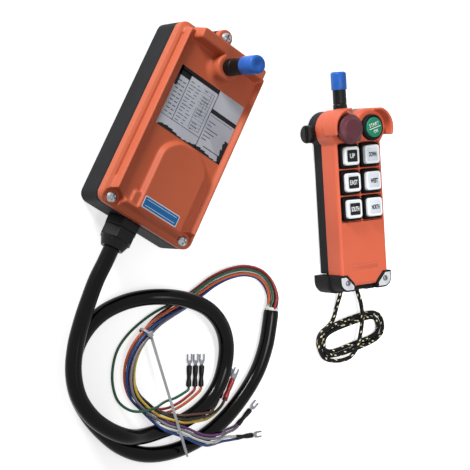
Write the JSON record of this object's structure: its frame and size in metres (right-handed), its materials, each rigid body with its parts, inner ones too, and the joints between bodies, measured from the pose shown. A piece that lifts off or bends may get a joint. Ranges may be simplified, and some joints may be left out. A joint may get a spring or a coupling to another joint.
{
  "type": "crane radio remote control",
  "caption": "Crane radio remote control set: wall-mounted receiver box with coiled multicore lead, and a hand-held push-button transmitter with a wrist cord.",
  "frame": {"origin": "middle of the receiver's flat back face", "axes": "+Y along the receiver towards its antenna end, +Z out of its cover, the transmitter lies on the +X side; both lie on their backs on z = 0"},
  "size_m": [0.3818, 0.4354, 0.105],
  "materials": {
    "orange_shell": "fine satin grain",
    "black_shell": "fine satin grain",
    "rubber_black": "matt",
    "seal_black": "matt",
    "steel_screw": "polished",
    "nickel": "satin",
    "blue_cap": "gloss",
    "antenna_black": "gloss",
    "board_green": "satin",
    "relay_blue": "satin",
    "winding_yellow": "satin",
    "strip_green": "satin",
    "tin_can": "satin",
    "gland_black": "satin",
    "sheath_black": "satin",
    "tie_grey": "satin",
    "stop_maroon": "gloss",
    "start_green": "gloss",
    "key_white": "satin",
    "boot_black": "matt",
    "plate_white": "satin",
    "stem_grey": "satin",
    "switch_dark": "satin",
    "battery_wrap": "gloss",
    "cord_fleck": "woven",
    "sleeve_black": "satin",
    "sleeve_red": "satin",
    "insulation_black": "satin",
    "insulation_brown": "satin",
    "insulation_red": "satin",
    "insulation_orange": "satin",
    "insulation_yellow": "satin",
    "insulation_green": "satin",
    "insulation_blue": "satin",
    "insulation_violet": "satin",
    "insulation_grey": "satin",
    "insulation_white": "satin"
  },
  "bodies": {
    "receiver": {"rx_base": "black_shell", "rx_cover": "orange_shell", "rx_seals": "seal_black", "rx_cover_screws": "steel_screw", "rx_antenna_stub": "antenna_black", "rx_antenna_cap": "blue_cap", "rx_antenna_nut": "nickel", "rx_circuit_board": "board_green", "rx_board_screws": "nickel", "rx_relays": "relay_blue", "rx_transformer": "winding_yellow", "rx_terminal_strip": "strip_green", "rx_radio_module": "tin_can", "gland_body": "gland_black", "gland_locknut": "gland_black", "gland_nut": "gland_black", "cable_inlet": "sheath_black", "cable_sheath": "sheath_black", "wire_black": "insulation_black", "wire_brown": "insulation_brown", "wire_red": "insulation_red", "wire_orange": "insulation_orange", "wire_yellow": "insulation_yellow", "wire_green": "insulation_green", "wire_blue": "insulation_blue", "wire_violet": "insulation_violet", "wire_grey": "insulation_grey", "wire_white": "insulation_white", "fork_terminals": "nickel", "sleeves_black": "sleeve_black", "sleeves_red": "sleeve_red", "cable_tie": "tie_grey"},
    "transmitter": {"tx_front_shell": "orange_shell", "tx_guard_horns": "orange_shell", "tx_rear_shell": "black_shell", "tx_battery_cover": "black_shell", "tx_bumper": "rubber_black", "tx_corner_plates": "plate_white", "tx_case_screws": "steel_screw", "tx_stop_collar": "antenna_black", "tx_start_bezel": "antenna_black", "key_boots": "boot_black", "tx_antenna_stub": "antenna_black", "tx_antenna_cap": "blue_cap", "key_switch_barrel": "nickel", "tx_circuit_board": "board_green", "tx_switches": "switch_dark", "tx_batteries": "battery_wrap", "tx_battery_contacts": "nickel", "wrist_cord": "cord_fleck"},
    "stop_plunger": {"tx_stop_stem": "stem_grey"},
    "stop_button": {"tx_stop_head": "stop_maroon"},
    "start_button": {"tx_start_button": "start_green"},
    "key_up_body": {"key_up": "key_white"},
    "key_down_body": {"key_down": "key_white"},
    "key_east_body": {"key_east": "key_white"},
    "key_west_body": {"key_west": "key_white"},
    "key_south_body": {"key_south": "key_white"},
    "key_north_body": {"key_north": "key_white"},
    "key_switch": {"key_switch_knob": "antenna_black"}
  },
  "joints": [
    {"name": "transmitter_lift", "type": "slide", "parent": "receiver", "child": "transmitter", "axis": [0, 0, 1], "range_m": [0, 0.15]},
    {"name": "stop_press", "type": "slide", "parent": "transmitter", "child": "stop_plunger", "axis": [0, 0, -1], "range_m": [0, 0.004], "stiffness_N_per_m": 900},
    {"name": "stop_twist", "type": "hinge", "parent": "stop_plunger", "child": "stop_button", "pos_m": [0.1606, 0.09893, 0.045], "axis": [0, 0, 1], "range_deg": [0, 45], "stiffness_Nm_per_rad": 0.05},
    {"name": "start_press", "type": "slide", "parent": "transmitter", "child": "start_button", "axis": [0, 0, -1], "range_m": [0, 0.003], "stiffness_N_per_m": 600},
    {"name": "key_up_press", "type": "slide", "parent": "transmitter", "child": "key_up_body", "axis": [0, 0, -1], "range_m": [0, 0.0025], "stiffness_N_per_m": 500},
    {"name": "key_down_press", "type": "slide", "parent": "transmitter", "child": "key_down_body", "axis": [0, 0, -1], "range_m": [0, 0.0025], "stiffness_N_per_m": 500},
    {"name": "key_east_press", "type": "slide", "parent": "transmitter", "child": "key_east_body", "axis": [0, 0, -1], "range_m": [0, 0.0025], "stiffness_N_per_m": 500},
    {"name": "key_west_press", "type": "slide", "parent": "transmitter", "child": "key_west_body", "axis": [0, 0, -1], "range_m": [0, 0.0025], "stiffness_N_per_m": 500},
    {"name": "key_south_press", "type": "slide", "parent": "transmitter", "child": "key_south_body", "axis": [0, 0, -1], "range_m": [0, 0.0025], "stiffness_N_per_m": 500},
    {"name": "key_north_press", "type": "slide", "parent": "transmitter", "child": "key_north_body", "axis": [0, 0, -1], "range_m": [0, 0.0025], "stiffness_N_per_m": 500},
    {"name": "key_switch_turn", "type": "hinge", "parent": "transmitter", "child": "key_switch", "pos_m": [0.14588, 0.08579, 0.0092], "axis": [-0.8387, -0.5446, 0], "range_deg": [0, 90]}
  ]
}
